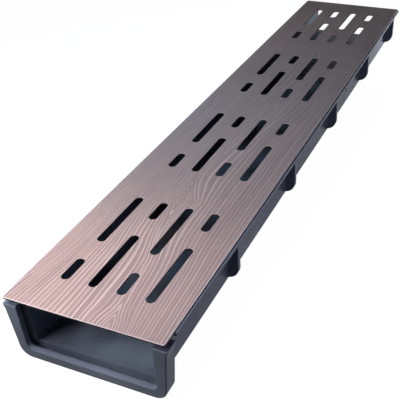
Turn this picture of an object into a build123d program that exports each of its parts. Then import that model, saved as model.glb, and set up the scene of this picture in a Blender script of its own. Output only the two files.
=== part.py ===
from build123d import *
import os

# A shallow channel drain, laid in one metre lengths: a moulded trough with a socket collar
# at the near end and a spigot at the far end, under a flat slotted steel grate.
# The length runs along Y, the width along X, and the collar stands on the ground at Z = 0.

# Grate, a flat sheet
grate_length = 1000.0
grate_width = 190.0
grate_thickness = 2.0
grate_corner_radius = 2.0
grate_edge_chamfer = 0.4

# Slots of the grate: each group has a short and a long slot in every column,
# and neighbouring columns run the other way round
slot_columns = 4
slot_groups = 4
slot_width = 11.0
short_slot = 37.0
long_slot = 96.0
slot_gap = 34.0
column_spacing = 34.5
slot_end_margin = 47.5

# Locating cleats under the grate
cleat_length = 40.0
cleat_from_end = 120.0
cleat_thickness = 2.0
cleat_foot_width = 12.0
cleat_drop = 14.0
cleat_bend_radius = 3.0
cleat_clearance = 1.2

# Trough, under a seat of this width along both edges of the grate
seat_width = 15.5
trough_depth = 62.5
wall_draft = 1.2
trough_outer_radius = 6.0
trough_inner_radius = 3.0
wall_top_thickness = 4.0
wall_foot_thickness = 5.0
floor_thickness = 4.5

# Flange along both top edges, where the grate rests
flange_overhang = 2.0
flange_thickness = 4.0

# Collar round the near end
collar_length = 18.0
collar_foot_thickness = 12.2
collar_foot_wall = 11.0
collar_shoulder_wall = 15.9
collar_lip_height = 2.5
collar_lip_flare_height = 4.5
collar_outer_radius = 15.0
collar_edge_radius = 1.5
collar_mouth_radius = 1.0
collar_step_height = 7.0
collar_notch = 3.0

# Upstand that carries the grate over the collar
upstand_inset = 3.0
upstand_setback = 5.0

# Socket in the collar and spigot at the far end
socket_depth = 12.0
socket_clearance = 0.8
spigot_end_clearance = 0.5
seal_groove_width = 5.5
seal_groove_depth = 6.0

# Ribs that stand out from both walls
rib_count = 5
rib_thickness = 6.0
rib_first_from_front = 175.5
rib_last_from_end = 27.0
rib_setback = 2.0
rib_foot_height = 24.0
rib_corner_radius = 16.0
rib_root_radius = 4.0

# Round mark of the moulding gate on the right wall
gate_mark_diameter = 5.0
gate_mark_depth = 1.0
gate_mark_from_front = 688.0
gate_mark_height = 40.0

# Widths, from the grate inwards and outwards
trough_top_width = grate_width - 2 * seat_width
trough_foot_width = trough_top_width - 2 * wall_draft
flange_width = grate_width + 2 * flange_overhang
collar_foot_width = trough_foot_width + 2 * collar_foot_wall
collar_shoulder_width = trough_top_width + 2 * collar_shoulder_wall
upstand_width = grate_width - 2 * upstand_inset
rib_width = flange_width - 2 * rib_setback

# Heights, built up from the ground
socket_floor_z = collar_foot_thickness
trough_underside_z = socket_floor_z + socket_clearance
floor_z = trough_underside_z + floor_thickness
seat_z = floor_z + trough_depth
grate_top_z = seat_z + grate_thickness
collar_top_z = seat_z - collar_step_height
flange_underside_z = seat_z - flange_thickness

# Places along the length, with the whole drain centred on Y = 0
spigot_length = socket_depth - spigot_end_clearance
overall_length = grate_length + spigot_length
front_y = -overall_length / 2
grate_end_y = front_y + grate_length
back_y = front_y + overall_length
socket_end_y = front_y + socket_depth
collar_end_y = front_y + collar_length
flange_start_y = collar_end_y + collar_notch

# Patterns along the grate's length
group_length = short_slot + slot_gap + long_slot
group_pitch = (grate_length - 2 * slot_end_margin - group_length) / (slot_groups - 1)
rib_pitch = (grate_length - rib_first_from_front - rib_last_from_end - rib_thickness) / (rib_count - 1)


def trough_half_width(z):
    """Outer half width of the trough at a height: a straight taper from seat to underside."""
    share = (z - trough_underside_z) / (seat_z - trough_underside_z)
    return (trough_foot_width + share * (trough_top_width - trough_foot_width)) / 2


def water_half_width(z):
    """Inner half width of the trough at a height: the walls get thicker towards the floor."""
    share = (z - floor_z) / (seat_z - floor_z)
    wall = wall_foot_thickness + share * (wall_top_thickness - wall_foot_thickness)
    return trough_half_width(z) - wall


def u_face(top_half, foot_half, top_z, foot_z, corner_radius):
    """Upright face of a tapered trough: a trapezium whose two lower corners are round."""
    outline = Polygon(
        (-top_half, top_z), (-foot_half, foot_z), (foot_half, foot_z), (top_half, top_z), align=None
    )
    outline = fillet(outline.vertices().sort_by(Axis.Y)[:2], corner_radius)
    return Plane.XZ * outline


def prism(face, start_y, end_y):
    """Solid swept from an upright face along the drain, between two places."""
    return extrude(face.moved(Location((0, start_y, 0))), amount=end_y - start_y, dir=(0, 1, 0))


def block(x_range, y_range, z_range):
    """Plain box between two corners."""
    size = [high - low for low, high in (x_range, y_range, z_range)]
    centre = [(high + low) / 2 for low, high in (x_range, y_range, z_range)]
    return Location(centre) * Box(*size)


def trough_outside(top_z, grow=0.0):
    """Outer face of the trough up to a height, made larger all round by grow."""
    return u_face(
        trough_half_width(top_z) + grow,
        trough_half_width(trough_underside_z - grow) + grow,
        top_z,
        trough_underside_z - grow,
        trough_outer_radius + grow,
    )


def trough_inside(top_z):
    """Inner face of the trough, which runs a little above the seat so that it cuts cleanly."""
    return u_face(
        water_half_width(top_z),
        water_half_width(floor_z),
        top_z,
        floor_z,
        trough_inner_radius,
    )


def make_trough():
    """Long U of the trough, with the walls of the spigot cut down to the collar's height."""
    trough = prism(trough_outside(seat_z), socket_end_y, back_y)
    trough -= block(
        (-flange_width, flange_width),
        (grate_end_y, back_y + 1),
        (collar_top_z - socket_clearance, seat_z + 1),
    )
    return trough


def make_flange():
    """Flat flange over the full width, which the inside of the trough is later cut out of."""
    half = flange_width / 2
    return block((-half, half), (flange_start_y, grate_end_y), (flange_underside_z, seat_z))


def make_collar():
    """Thick ring round the near end, tapered like the trough, with a lip at the top edges."""
    lip_half = flange_width / 2
    shoulder_half = collar_shoulder_width / 2
    foot_half = collar_foot_width / 2
    lip_z = collar_top_z - collar_lip_height
    shoulder_z = lip_z - collar_lip_flare_height
    outline = Polygon(
        (-lip_half, collar_top_z),
        (-lip_half, lip_z),
        (-shoulder_half, shoulder_z),
        (-foot_half, 0),
        (foot_half, 0),
        (shoulder_half, shoulder_z),
        (lip_half, lip_z),
        (lip_half, collar_top_z),
        align=None,
    )
    outline = fillet(outline.vertices().sort_by(Axis.Y)[:2], collar_outer_radius)
    ring = prism(Plane.XZ * outline, front_y, collar_end_y)
    front_edges = ring.faces().sort_by(Axis.Y)[0].edges()
    ring = fillet(front_edges, collar_edge_radius)

    upstand_half = upstand_width / 2
    ring += block(
        (-upstand_half, upstand_half),
        (front_y + upstand_setback, flange_start_y),
        (collar_top_z - 1, seat_z),
    )
    return ring


def make_socket():
    """Space in the collar that takes the next spigot, with a groove for sealant at its root."""
    above = seat_z + 1
    socket = prism(trough_outside(above, socket_clearance), front_y - 1, socket_end_y)
    groove = prism(
        trough_outside(above, socket_clearance + seal_groove_depth),
        socket_end_y - seal_groove_width,
        socket_end_y,
    )
    return socket + groove


def make_rib(side, start_y):
    """One upright rib: its outline seen along the drain, with a round lower corner, crossed with
    its outline seen from above, with round roots. side is 1 on the right and -1 on the left."""
    reach = rib_width / 2
    wall = trough_half_width(rib_foot_height)
    root = wall - wall_foot_thickness / 2
    middle_y = start_y + rib_thickness / 2

    upright = Polygon(
        (root, flange_underside_z),
        (root, rib_foot_height),
        (reach, rib_foot_height),
        (reach, flange_underside_z),
        align=None,
    )
    outer_foot = upright.vertices().group_by(Axis.Y)[0].sort_by(Axis.X)[-1]
    upright = fillet(outer_foot, min(rib_corner_radius, 0.9 * (reach - root)))

    in_wall = Rectangle(wall - root, rib_thickness + 4 * rib_root_radius)
    out_of_wall = Rectangle(reach - root, rib_thickness)
    plan = Location(((root + wall) / 2, 0)) * in_wall + Location(((root + reach) / 2, 0)) * out_of_wall
    roots = [v for v in plan.vertices() if abs(v.X - wall) < 0.01 and abs(v.Y) < rib_thickness]
    plan = fillet(roots, rib_root_radius)

    half_length = rib_thickness / 2 + 2 * rib_root_radius
    long = prism(Plane.XZ * upright, middle_y - half_length, middle_y + half_length)
    rib = long & extrude(plan.moved(Location((0, middle_y, 0))), amount=seat_z, dir=(0, 0, 1))
    if side < 0:
        rib = mirror(rib, about=Plane.YZ)
    return rib


def make_gate_mark():
    """Shallow round recess in the outside of the right wall."""
    wall_x = trough_half_width(gate_mark_height)
    place = Location((wall_x, front_y + gate_mark_from_front, gate_mark_height), (0, 90, 0))
    return place * Cylinder(gate_mark_diameter / 2, gate_mark_depth * 2)


def mouth_edges(body):
    """Edges where the socket opens through the collar's front face, apart from its top ends."""
    mouth_half = trough_half_width(collar_top_z) + socket_clearance
    front_edges = body.faces().sort_by(Axis.Y)[0].edges()
    edges = front_edges.filter_by(lambda edge: abs(edge.center().X) < mouth_half + collar_mouth_radius)
    return edges.filter_by(lambda edge: edge.center().Z > collar_foot_thickness - socket_clearance)


def make_channel_body():
    """The whole moulding: collar, trough, flanges and ribs, with the socket and inside cut out."""
    body = make_trough() + make_flange() + make_collar()
    for index in range(rib_count):
        for side in (-1, 1):
            body += make_rib(side, front_y + rib_first_from_front + index * rib_pitch)
    body -= prism(trough_inside(seat_z + 1), front_y, back_y + 1)
    body -= make_socket()
    body -= make_gate_mark()
    return fillet(mouth_edges(body), collar_mouth_radius)


def make_slotted_grate():
    """Flat sheet with round-ended slots; every second column has its long slots first."""
    sheet = RectangleRounded(grate_width, grate_length, grate_corner_radius)
    first_group = slot_end_margin - grate_length / 2
    for group in range(slot_groups):
        for column in range(slot_columns):
            x = (column - (slot_columns - 1) / 2) * column_spacing
            lengths = (short_slot, long_slot)
            if column % 2 == 1:
                lengths = (long_slot, short_slot)
            start = first_group + group * group_pitch
            for length in lengths:
                slot = SlotOverall(length, slot_width, rotation=90)
                sheet -= Location((x, start + length / 2)) * slot
                start += length + slot_gap
    centre_y = front_y + grate_length / 2
    grate = extrude(sheet.moved(Location((0, centre_y, seat_z))), amount=grate_thickness, dir=(0, 0, 1))
    return chamfer(grate.faces().sort_by(Axis.Z)[-1].edges(), grate_edge_chamfer)


def make_cleat(side, middle_y):
    """Folded strip under the grate: one leg lies on the sheet, the other drops inside the wall."""
    drop_z = seat_z - cleat_drop
    wall_x = water_half_width(drop_z) - cleat_clearance
    outline = Polygon(
        (wall_x - cleat_foot_width, seat_z),
        (wall_x, seat_z),
        (wall_x, drop_z),
        (wall_x - cleat_thickness, drop_z),
        (wall_x - cleat_thickness, seat_z - cleat_thickness),
        (wall_x - cleat_foot_width, seat_z - cleat_thickness),
        align=None,
    )
    inner_corner = outline.vertices().sort_by_distance((wall_x - cleat_thickness, seat_z - cleat_thickness))[0]
    outline = fillet(inner_corner, cleat_bend_radius - cleat_thickness)
    outer_corner = outline.vertices().sort_by_distance((wall_x, seat_z))[0]
    outline = fillet(outer_corner, cleat_bend_radius)
    cleat = prism(Plane.XZ * outline, middle_y - cleat_length / 2, middle_y + cleat_length / 2)
    if side < 0:
        cleat = mirror(cleat, about=Plane.YZ)
    return cleat


parts = {
    "channel_body": make_channel_body(),
    "slotted_grate": make_slotted_grate(),
}
cleat_places = {"near": front_y + cleat_from_end, "far": grate_end_y - cleat_from_end}
for end, place_y in cleat_places.items():
    for side_name, side in (("left", -1), ("right", 1)):
        parts[f"locating_cleat_{end}_{side_name}"] = make_cleat(side, place_y)

os.makedirs("parts", exist_ok=True)
for name, shape in parts.items():
    shape.label = name
    export_step(shape, f"parts/{name}.step")
    print(name, "solids", len(shape.solids()), "volume", round(shape.volume))
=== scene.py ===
import math

import bpy
import numpy as np
from mathutils import Matrix

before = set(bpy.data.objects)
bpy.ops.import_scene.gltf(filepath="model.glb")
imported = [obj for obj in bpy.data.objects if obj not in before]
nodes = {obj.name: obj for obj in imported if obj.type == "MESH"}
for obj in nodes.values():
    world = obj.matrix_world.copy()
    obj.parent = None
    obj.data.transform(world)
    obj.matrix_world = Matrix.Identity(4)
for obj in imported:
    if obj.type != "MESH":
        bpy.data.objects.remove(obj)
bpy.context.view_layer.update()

# The grate's places and sizes, in metres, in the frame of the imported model
NEAR_EDGE = -0.50575
GRATE_LENGTH = 1.0
GRATE_TOP = 0.082
GRATE_CHAMFER = 0.0004
HALF_WIDTH = 0.095

# Width of the painted highlight, a pale rim along the grate's top edges, in metres
HIGHLIGHT_RIM = 0.0012

MILLIMETRES = 1000.0

# The board that the coating looks like, in millimetres. First come the usual place across it of
# its heart line, and how far out the rings follow that line where it wanders
HEART_MIDDLE = 10.0
HEART_PULL = 55.0

# Half width of the arches along the heart line
ARCH_WIDTH = 22.0

# How much closer together the rings stand beside the heart line, and how far out
CROWDING = 15.0
CROWDING_WIDTH = 20.0

# A second knot, cut through by the left edge: its place across and along from the near edge, its
# half width both ways, and how far it pushes the rings
EDGE_KNOT = (-99.0, 130.0)
EDGE_KNOT_SIZE = (36.0, 80.0)
EDGE_KNOT_PUSH = 26.0

# The heart line's place across the board, at shares of the board's length from the near end
HEART_LINE = [
    (0.0, 32), (0.042, 27), (0.1, 20), (0.17, 2), (0.23, -4), (0.26, -7), (0.29, -11), (0.36, -8),
    (0.45, 6), (0.53, 20), (0.64, 40), (0.76, 22), (0.88, -10), (1.0, -16),
]

# The rise of the rings at the heart line, at the same kind of shares. It is nothing at the knot
RISE_LINE = [
    (0.0, 0), (0.012, 3.5), (0.042, 13), (0.08, 15), (0.16, 15), (0.195, 12), (0.213, 9),
    (0.222, 5), (0.23, 0), (0.238, 5), (0.262, 15), (0.285, 18), (0.33, 17), (0.4, 14),
    (0.45, 14), (0.485, 8), (0.53, 14), (0.6, 14), (0.635, 8), (0.68, 14), (0.8, 15),
    (0.86, 8), (0.91, 14), (1.0, 15),
]


def linear(red, green, blue):
    """Colour given as screen values from 0 to 255, as the light values that a shader takes."""
    screen = np.array([red, green, blue], dtype=float) / 255.0
    low = screen / 12.92
    high = ((screen + 0.055) / 1.055) ** 2.4
    return tuple(float(c) for c in np.where(screen <= 0.04045, low, high)) + (1.0,)


# Small tools for node trees


def add_node(tree, kind, **settings):
    """New node of one kind, with its plain settings."""
    node = tree.nodes.new(kind)
    for name, value in settings.items():
        setattr(node, name, value)
    return node


def feed(tree, socket, value):
    """Gives a socket a number or a colour, or links another node's output to it."""
    if isinstance(value, bpy.types.NodeSocket):
        tree.links.new(value, socket)
    else:
        socket.default_value = value


def reckon(tree, operation, *values):
    """Output of a Math node with these values as its inputs."""
    node = add_node(tree, "ShaderNodeMath", operation=operation)
    for socket, value in zip(node.inputs, values):
        feed(tree, socket, value)
    return node.outputs[0]


def total(tree, *values):
    """Sum of several numbers or outputs."""
    result = values[0]
    for value in values[1:]:
        result = reckon(tree, "ADD", result, value)
    return result


def ramp(tree, value, low, high, bottom=0.0, top=1.0):
    """Smooth step of value from bottom to top while it goes from low to high."""
    node = add_node(tree, "ShaderNodeMapRange", interpolation_type="SMOOTHSTEP")
    for socket, number in zip(node.inputs[:5], (value, low, high, bottom, top)):
        feed(tree, socket, number)
    return node.outputs[0]


def vector(tree, x, y, z=0.0):
    """Vector made of three numbers or outputs."""
    node = add_node(tree, "ShaderNodeCombineXYZ")
    for socket, value in zip(node.inputs, (x, y, z)):
        feed(tree, socket, value)
    return node.outputs[0]


def stretch(tree, position, x, y, z):
    """Position times a separate factor for each axis."""
    node = add_node(tree, "ShaderNodeVectorMath", operation="MULTIPLY")
    feed(tree, node.inputs[0], position)
    feed(tree, node.inputs[1], (x, y, z))
    return node.outputs[0]


def noise(tree, position, scale, detail=2.0, roughness=0.5):
    """Cloudy noise from 0 to 1 at a position."""
    node = add_node(tree, "ShaderNodeTexNoise", noise_dimensions="3D")
    feed(tree, node.inputs["Vector"], position)
    feed(tree, node.inputs["Scale"], scale)
    feed(tree, node.inputs["Detail"], detail)
    feed(tree, node.inputs["Roughness"], roughness)
    return node.outputs["Fac"]


def wobble(tree, position, scale, reach, detail=1.0):
    """Cloudy noise from about -reach to reach."""
    centred = reckon(tree, "SUBTRACT", noise(tree, position, scale, detail), 0.5)
    return reckon(tree, "MULTIPLY", centred, 4.0 * reach)


def bell(tree, value, width):
    """Bell curve of value: 1 at nothing, falling to 0.37 at the width."""
    share = reckon(tree, "DIVIDE", value, width)
    square = reckon(tree, "MULTIPLY", share, share)
    return reckon(tree, "EXPONENT", reckon(tree, "MULTIPLY", square, -1.0))


def curve_along(tree, share, points, reach, base=0.0):
    """Smooth curve through points of (share of the length, value), where the values lie between
    base and base + reach."""
    node = add_node(tree, "ShaderNodeFloatCurve")
    line = node.mapping.curves[0]
    for place, value in points[1:-1]:
        line.points.new(place, (value - base) / reach)
    line.points[0].location = (points[0][0], (points[0][1] - base) / reach)
    line.points[-1].location = (points[-1][0], (points[-1][1] - base) / reach)
    node.mapping.update()
    feed(tree, node.inputs["Value"], share)
    return reckon(tree, "MULTIPLY_ADD", node.outputs[0], reach, base)


def blend(tree, share, first, second):
    """Colour mixed from first to second by share."""
    node = add_node(tree, "ShaderNodeMix", data_type="RGBA")
    feed(tree, node.inputs[0], share)
    feed(tree, node.inputs[6], first)
    feed(tree, node.inputs[7], second)
    return node.outputs[2]


def new_group(name, inputs, outputs):
    """Node group with named inputs, given as (name, kind, default), and named outputs. Returns
    the tree, its input node's outputs and its output node's inputs."""
    tree = bpy.data.node_groups.new(name, "ShaderNodeTree")
    for socket_name, kind, default in inputs:
        socket = tree.interface.new_socket(socket_name, in_out="INPUT", socket_type=kind)
        if default is not None:
            socket.default_value = default
    for socket_name, kind in outputs:
        tree.interface.new_socket(socket_name, in_out="OUTPUT", socket_type=kind)
    source = add_node(tree, "NodeGroupInput")
    sink = add_node(tree, "NodeGroupOutput")
    return tree, source.outputs, sink.inputs


def use_group(tree, group, position):
    """Places a node group in a tree and feeds its position."""
    node = add_node(tree, "ShaderNodeGroup", node_tree=group)
    feed(tree, node.inputs["Position"], position)
    return node.outputs


FLOAT, VECTOR = "NodeSocketFloat", "NodeSocketVector"


# The wood look of the coating: growth rings of a flat-sawn board, seen as thin raised lines


def ring_lines(tree, ring, share, seed, weakest, strongest, half_width):
    """Thin line on every whole ring number. Each has its own place and strength, which change
    slowly along the board."""
    number = reckon(tree, "ROUND", ring)
    own_lane = reckon(tree, "MULTIPLY", number, 7.31)
    own_place = vector(tree, own_lane, reckon(tree, "MULTIPLY", share, 2.2), seed)
    own = noise(tree, own_place, 3.0, 1.0)
    shift = reckon(tree, "MULTIPLY_ADD", own, 0.5, -0.25)
    off_ring = reckon(tree, "SUBTRACT", ring, number)
    off_line = reckon(tree, "ABSOLUTE", reckon(tree, "SUBTRACT", off_ring, shift))
    strength = reckon(tree, "MAXIMUM", ramp(tree, own, 0.36, 0.64, weakest, strongest), 0.0)
    return reckon(tree, "MULTIPLY", ramp(tree, off_line, 0.02, half_width, 1.0, 0.0), strength)


def make_ring_group():
    """Growth rings of a flat-sawn board. A ring's number is the sideways distance from the heart
    line, which wanders along the board, plus a rise near that line, all divided by the ring
    spacing. Where the rise grows or falls along the board the rings close into pointed arches,
    and where it dips to nothing they close round a knot."""
    tree, source, sink = new_group(
        "board_rings",
        [("Position", VECTOR, None), ("Spacing", FLOAT, 4.9), ("Waviness", FLOAT, 1.0)],
        [("Line", FLOAT), ("Fibre", FLOAT), ("Tone", FLOAT)],
    )
    millimetres = stretch(tree, source["Position"], MILLIMETRES, MILLIMETRES, MILLIMETRES)
    parts = add_node(tree, "ShaderNodeSeparateXYZ")
    feed(tree, parts.inputs[0], millimetres)
    across, along = parts.outputs[0], parts.outputs[1]
    per_millimetre = 1.0 / (MILLIMETRES * GRATE_LENGTH)
    share = reckon(tree, "MULTIPLY_ADD", along, per_millimetre, -NEAR_EDGE / GRATE_LENGTH)

    heart = curve_along(tree, share, HEART_LINE, reach=190.0, base=-95.0)
    rise = curve_along(tree, share, RISE_LINE, reach=30.0)
    slow = stretch(tree, millimetres, 0.014, 0.0046, 0.0)
    quick = stretch(tree, millimetres, 0.06, 0.011, 0.0)
    bend = reckon(tree, "MULTIPLY", wobble(tree, slow, 1.0, 1.2), source["Waviness"])
    ripple = reckon(tree, "MULTIPLY", wobble(tree, quick, 1.0, 0.4, 2.0), source["Waviness"])
    from_heart = reckon(tree, "SUBTRACT", across, heart)
    followed = bell(tree, from_heart, HEART_PULL)
    astray = reckon(tree, "MULTIPLY", reckon(tree, "SUBTRACT", heart, HEART_MIDDLE), followed)
    from_middle = reckon(tree, "SUBTRACT", across, HEART_MIDDLE)
    sideways = total(tree, from_middle, reckon(tree, "MULTIPLY", astray, -1.0), bend)
    folded = reckon(tree, "SQRT", reckon(tree, "MULTIPLY_ADD", sideways, sideways, 3.0))
    near_heart = bell(tree, from_heart, ARCH_WIDTH)
    crowding = reckon(tree, "EXPONENT", reckon(tree, "MULTIPLY", folded, -1.0 / CROWDING_WIDTH))

    # the second knot pushes the rings beside it inwards
    wide, long = EDGE_KNOT_SIZE
    knot_across = EDGE_KNOT[0] / wide
    knot_along = (NEAR_EDGE * MILLIMETRES + EDGE_KNOT[1]) / long
    to_knot = add_node(tree, "ShaderNodeVectorMath", operation="LENGTH")
    off_knot = add_node(tree, "ShaderNodeVectorMath", operation="SUBTRACT")
    feed(tree, off_knot.inputs[0], stretch(tree, millimetres, 1 / wide, 1 / long, 0.0))
    feed(tree, off_knot.inputs[1], (knot_across, knot_along, 0.0))
    feed(tree, to_knot.inputs[0], off_knot.outputs[0])
    edge_knot = reckon(tree, "MULTIPLY", bell(tree, to_knot.outputs["Value"], 1.0), EDGE_KNOT_PUSH)

    uncrowded = total(tree, folded, reckon(tree, "MULTIPLY", crowding, -CROWDING), CROWDING)
    distance = total(tree, uncrowded, reckon(tree, "MULTIPLY", rise, near_heart), edge_knot, ripple)
    ring = reckon(tree, "DIVIDE", distance, source["Spacing"])

    # the lines are weaker towards the far end and over much of the left side
    left_side = ramp(tree, across, -30.0, 25.0, 0.5, 0.0)
    worn = reckon(tree, "MULTIPLY", ramp(tree, share, 0.14, 0.26), left_side)
    near_end = ramp(tree, share, 0.1, 0.3, 1.0, 0.62)
    kept = reckon(tree, "MULTIPLY", reckon(tree, "SUBTRACT", 1.0, worn), near_end)
    kept = reckon(tree, "MULTIPLY", kept, ramp(tree, share, 0.4, 0.85, 1.0, 0.4))
    kept = reckon(tree, "MULTIPLY", kept, ramp(tree, across, -70.0, -10.0, 0.72, 1.0))

    # every second line is fainter on the right, and finer lines lie between
    number = reckon(tree, "ROUND", ring)
    odd = reckon(tree, "FRACT", reckon(tree, "MULTIPLY", number, 0.5))
    fainter = reckon(tree, "MULTIPLY", odd, ramp(tree, across, 10.0, 45.0, 0.1, 0.9))
    bold = ring_lines(tree, ring, share, 0.0, 0.45, 1.0, 0.17)
    bold = reckon(tree, "MULTIPLY", bold, reckon(tree, "SUBTRACT", 1.0, fainter))
    twice = reckon(tree, "MULTIPLY_ADD", ring, 2.0, 0.5)
    fine = ring_lines(tree, twice, share, 4.7, -0.35, 0.7, 0.2)
    fine = reckon(tree, "MULTIPLY", fine, ramp(tree, share, 0.1, 0.25, 1.0, 0.45))
    fine = reckon(tree, "MULTIPLY", fine, ramp(tree, across, 20.0, 50.0, 1.0, 0.3))
    feed(tree, sink["Line"], reckon(tree, "MULTIPLY", reckon(tree, "MAXIMUM", bold, fine), kept))

    fibre = noise(tree, stretch(tree, millimetres, 1.1, 0.03, 1.0), 1.0, 3.0, 0.6)
    feed(tree, sink["Fibre"], fibre)
    feed(tree, sink["Tone"], noise(tree, stretch(tree, millimetres, 0.05, 0.004, 0.0), 1.0, 2.0))
    return tree


def make_skin_group():
    """Fine moulded or sprayed skin: small grains, and broad soft patches several centimetres
    wide."""
    tree, source, sink = new_group(
        "fine_skin",
        [("Position", VECTOR, None), ("Grain", FLOAT, 1400.0), ("Patch", FLOAT, 14.0)],
        [("Grains", FLOAT), ("Patches", FLOAT)],
    )
    feed(tree, sink["Grains"], noise(tree, source["Position"], source["Grain"], 2.0, 0.6))
    feed(tree, sink["Patches"], noise(tree, source["Position"], source["Patch"], 3.0, 0.55))
    return tree


BOARD_RINGS = make_ring_group()
FINE_SKIN = make_skin_group()


def new_material(name):
    """Material with its own Principled shader. Returns the material, its tree, the shader and
    the object's own coordinates."""
    material = bpy.data.materials.new(name)
    material.use_nodes = True
    tree = material.node_tree
    shader = next(node for node in tree.nodes if node.type == "BSDF_PRINCIPLED")
    place = add_node(tree, "ShaderNodeTexCoord").outputs["Object"]
    return material, tree, shader, place


def emboss(tree, shader, height, depth_m, strength=1.0):
    """Bumps the shader's normal by a height from 0 to 1, depth_m metres deep."""
    bump = add_node(tree, "ShaderNodeBump")
    feed(tree, bump.inputs["Strength"], strength)
    feed(tree, bump.inputs["Distance"], depth_m)
    feed(tree, bump.inputs["Height"], height)
    feed(tree, shader.inputs["Normal"], bump.outputs[0])


def wood_look_coating():
    """Satin brown coating on steel, with pale raised ring lines over darker, finely streaked
    wood. The chamfers and an edge rim are a painted pale highlight; below the top is painted shade."""
    material, tree, shader, place = new_material("wood_look_coating")
    rings = use_group(tree, BOARD_RINGS, place)
    skin = use_group(tree, FINE_SKIN, place)
    dark = blend(tree, rings["Tone"], linear(116, 100, 103), linear(146, 127, 126))
    streaks = ramp(tree, rings["Fibre"], 0.35, 0.7, 0.0, 0.3)
    streaked = blend(tree, streaks, dark, linear(168, 148, 146))
    grain = blend(tree, rings["Line"], streaked, linear(194, 173, 168))
    axes = add_node(tree, "ShaderNodeSeparateXYZ")
    feed(tree, axes.inputs[0], place)
    across, along, level = axes.outputs
    below_top = reckon(tree, "SUBTRACT", GRATE_TOP, level)
    # painted highlight: the chamfers and a thin rim along the long sides and the near edge are made
    # pale
    chamfer_highlight = ramp(tree, below_top, 0.1 * GRATE_CHAMFER, 0.4 * GRATE_CHAMFER, 0.0, 0.6)
    from_middle = reckon(tree, "ABSOLUTE", across)
    side_highlight = ramp(tree, from_middle, HALF_WIDTH - HIGHLIGHT_RIM, HALF_WIDTH - 0.6 * HIGHLIGHT_RIM, 0.0, 0.7)
    near_highlight = ramp(tree, along, NEAR_EDGE + 0.6 * HIGHLIGHT_RIM, NEAR_EDGE + HIGHLIGHT_RIM, 0.7, 0.0)
    painted_highlight = reckon(tree, "MAXIMUM", chamfer_highlight, reckon(tree, "MAXIMUM", side_highlight, near_highlight))
    grain_with_highlight = blend(tree, painted_highlight, grain, linear(205, 196, 196))
    # painted shade: the side faces, slot walls and underside below the top are made dark
    painted_shade = ramp(tree, below_top, 0.9 * GRATE_CHAMFER, 1.2 * GRATE_CHAMFER, 0.0, 1.0)
    feed(tree, shader.inputs["Base Color"], blend(tree, painted_shade, grain_with_highlight, linear(52, 50, 58)))
    feed(tree, shader.inputs["Roughness"], ramp(tree, skin["Patches"], 0.3, 0.7, 0.5, 0.6))
    feed(tree, shader.inputs["Specular IOR Level"], 0.05)
    height = total(
        tree,
        reckon(tree, "MULTIPLY", rings["Line"], 0.8),
        reckon(tree, "MULTIPLY", rings["Fibre"], 0.25),
        reckon(tree, "MULTIPLY", skin["Grains"], 0.08),
    )
    emboss(tree, shader, height, 0.00025)
    return material


def moulded_plastic():
    """Dark blue-grey moulded plastic with a fine matt skin and faint flow patches."""
    material, tree, shader, place = new_material("dark_plastic")
    skin = use_group(tree, FINE_SKIN, place)
    flow = noise(tree, stretch(tree, place, 9.0, 1.6, 22.0), 3.0, 3.0)
    flowed = blend(tree, flow, linear(92, 102, 118), linear(113, 123, 140))
    grains = ramp(tree, skin["Grains"], 0.45, 0.75, 0.0, 0.25)
    feed(tree, shader.inputs["Base Color"], blend(tree, grains, flowed, linear(135, 144, 160)))
    feed(tree, shader.inputs["Roughness"], ramp(tree, skin["Patches"], 0.3, 0.7, 0.36, 0.48))
    feed(tree, shader.inputs["Specular IOR Level"], 0.07)
    emboss(tree, shader, skin["Grains"], 0.00012, 0.6)
    return material


def galvanised_steel():
    """Dull zinc-coated steel with the soft crystal patches of its coating."""
    material, tree, shader, place = new_material("galvanised_steel")
    crystals = add_node(tree, "ShaderNodeTexVoronoi")
    feed(tree, crystals.inputs["Vector"], place)
    feed(tree, crystals.inputs["Scale"], 260.0)
    tone = add_node(tree, "ShaderNodeSeparateXYZ")
    feed(tree, tone.inputs[0], crystals.outputs["Color"])
    zinc = blend(tree, tone.outputs[0], linear(176, 178, 180), linear(206, 208, 210))
    feed(tree, shader.inputs["Base Color"], zinc)
    feed(tree, shader.inputs["Metallic"], 1.0)
    feed(tree, shader.inputs["Roughness"], ramp(tree, tone.outputs[1], 0.0, 1.0, 0.34, 0.52))
    return material


finishes = {
    "channel_body": moulded_plastic(),
    "slotted_grate": wood_look_coating(),
}
steel = galvanised_steel()
for name, piece in nodes.items():
    finish = finishes.get(name, steel)
    piece.data.materials.clear()
    piece.data.materials.append(finish)


# Studio: white floor, soft lamps and the photograph's camera


def make_floor(radius=30.0, corners=96):
    """Flat round floor, white to the camera, which still takes the object's shadow."""
    turns = np.linspace(0.0, 2.0 * math.pi, corners, endpoint=False)
    rim = np.stack([radius * np.cos(turns), radius * np.sin(turns), np.zeros(corners)], axis=1)
    mesh = bpy.data.meshes.new("floor")
    mesh.from_pydata(rim.tolist(), [], [list(range(corners))])
    floor = bpy.data.objects.new("floor", mesh)
    bpy.context.scene.collection.objects.link(floor)
    material, tree, shader, _ = new_material("floor_white")
    feed(tree, shader.inputs["Base Color"], (0.15, 0.15, 0.15, 1.0))
    feed(tree, shader.inputs["Roughness"], 1.0)
    feed(tree, shader.inputs["Specular IOR Level"], 0.0)
    rays = add_node(tree, "ShaderNodeLightPath").outputs
    shown = reckon(tree, "MAXIMUM", rays["Is Camera Ray"], rays["Is Glossy Ray"])
    shown = reckon(tree, "MAXIMUM", shown, rays["Is Transmission Ray"])
    feed(tree, shader.inputs["Emission Color"], (1.0, 1.0, 1.0, 1.0))
    feed(tree, shader.inputs["Emission Strength"], reckon(tree, "MULTIPLY", shown, 0.98))
    mesh.materials.append(material)


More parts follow.
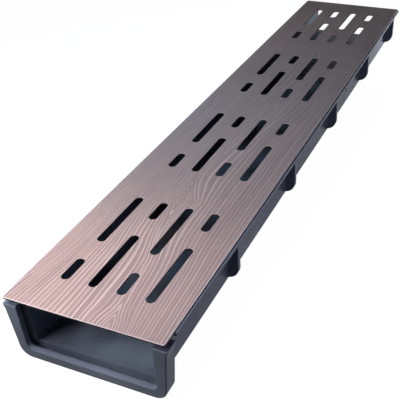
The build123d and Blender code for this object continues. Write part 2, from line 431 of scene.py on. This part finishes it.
def make_world():
    """Even pale sky: white where the camera or a reflection sees it, softer as a lamp."""
    world = bpy.data.worlds.new("studio")
    bpy.context.scene.world = world
    world.use_nodes = True
    tree = world.node_tree
    back = next(node for node in tree.nodes if node.type == "BACKGROUND")
    rays = add_node(tree, "ShaderNodeLightPath").outputs
    shown = reckon(tree, "MAXIMUM", rays["Is Camera Ray"], rays["Is Transmission Ray"])
    shown = reckon(tree, "MAXIMUM", shown, rays["Is Glossy Ray"])
    sky = blend(tree, shown, (0.86, 0.92, 1.0, 1.0), (1.0, 1.0, 1.0, 1.0))
    feed(tree, back.inputs["Color"], sky)
    feed(tree, back.inputs["Strength"], ramp(tree, shown, 0.0, 1.0, 0.02, 1.0))


def hang_lamp(name, data, place, target, watts, colour):
    """Puts a lamp at a place, turned to face a target, with its power and colour."""
    data.energy = watts
    data.color = colour
    lamp = bpy.data.objects.new(name, data)
    bpy.context.scene.collection.objects.link(lamp)
    back = np.array(place, dtype=float) - np.array(target, dtype=float)
    back /= np.linalg.norm(back)
    side = np.cross((0.0, 0.0, 1.0), back)
    side /= np.linalg.norm(side)
    up = np.cross(back, side)
    turn = np.eye(4)
    turn[:3, 0], turn[:3, 1], turn[:3, 2], turn[:3, 3] = side, up, back, place
    lamp.matrix_world = Matrix(turn.tolist())


def make_lamp(name, place, target, size, watts, colour):
    """Square soft lamp."""
    data = bpy.data.lights.new(name, "AREA")
    data.shape = "SQUARE"
    data.size = size
    hang_lamp(name, data, place, target, watts, colour)


def make_spot(name, place, target, cone, watts, colour):
    """Spot lamp with a soft-edged cone of so many degrees."""
    data = bpy.data.lights.new(name, "SPOT")
    data.spot_size = math.radians(cone)
    data.spot_blend = 1.0
    data.shadow_soft_size = 0.03
    hang_lamp(name, data, place, target, watts, colour)


def make_camera():
    """The photograph's camera, found from the grate's corners and slots."""
    data = bpy.data.cameras.new("photo_camera")
    data.sensor_width = 36.0
    data.lens = 61.76
    data.shift_x = -0.0922
    data.shift_y = 0.0579
    data.clip_start = 0.01
    data.clip_end = 100.0
    camera = bpy.data.objects.new("photo_camera", data)
    camera.location = (0.35052, -0.89241, 0.54899)
    camera.rotation_euler = [math.radians(a) for a in (54.32077, 1.798, 23.1494)]
    bpy.context.scene.collection.objects.link(camera)
    bpy.context.scene.camera = camera


make_floor()
make_world()

# Square lamps: name, place, aim, size, watts and colour. The spot's cone is in degrees
for lamp in (
    ("warm_spot", (-0.13, -0.42, 0.25), (-0.05, -0.42, 0.08), 0.1, 0.24, (1.0, 0.79, 0.6)),
    ("near_right", (0.05, -0.5, 0.3), (0.04, -0.46, 0.08), 0.1, 0.15, (0.95, 0.85, 1.0)),
    ("cool_over_left", (-0.3, -0.16, 0.52), (0.0, -0.2, 0.05), 0.3, 2.25, (0.55, 0.84, 1.0)),
    ("far_left", (-0.3, 0.3, 0.25), (-0.05, 0.3, 0.08), 0.2, 0.21, (0.95, 0.97, 1.0)),
    ("over_the_mouth", (-0.09, -0.55, 0.45), (-0.04, -0.5, 0.03), 0.07, 1.2, (1.0, 0.95, 0.92)),
    ("front_left", (-0.3, -0.75, 0.38), (0.02, -0.49, 0.03), 0.15, 1.1, (1.0, 0.92, 0.98)),
    ("right_near", (0.6, -0.3, 0.25), (0.09, -0.1, 0.04), 0.4, 0.57, (0.8, 0.68, 1.0)),
    ("right_far", (0.3, 0.62, 0.035), (0.09, 0.45, 0.045), 0.08, 0.95, (1.0, 0.95, 0.93)),
):
    make_lamp(*lamp)
make_spot(
    "into_the_mouth", (-0.355, -0.65, 0.2), (0.065, -0.467, 0.012), 9.5, 10.5, (1.0, 0.93, 0.88)
)
make_camera()

bpy.context.scene.view_settings.view_transform = "Standard"
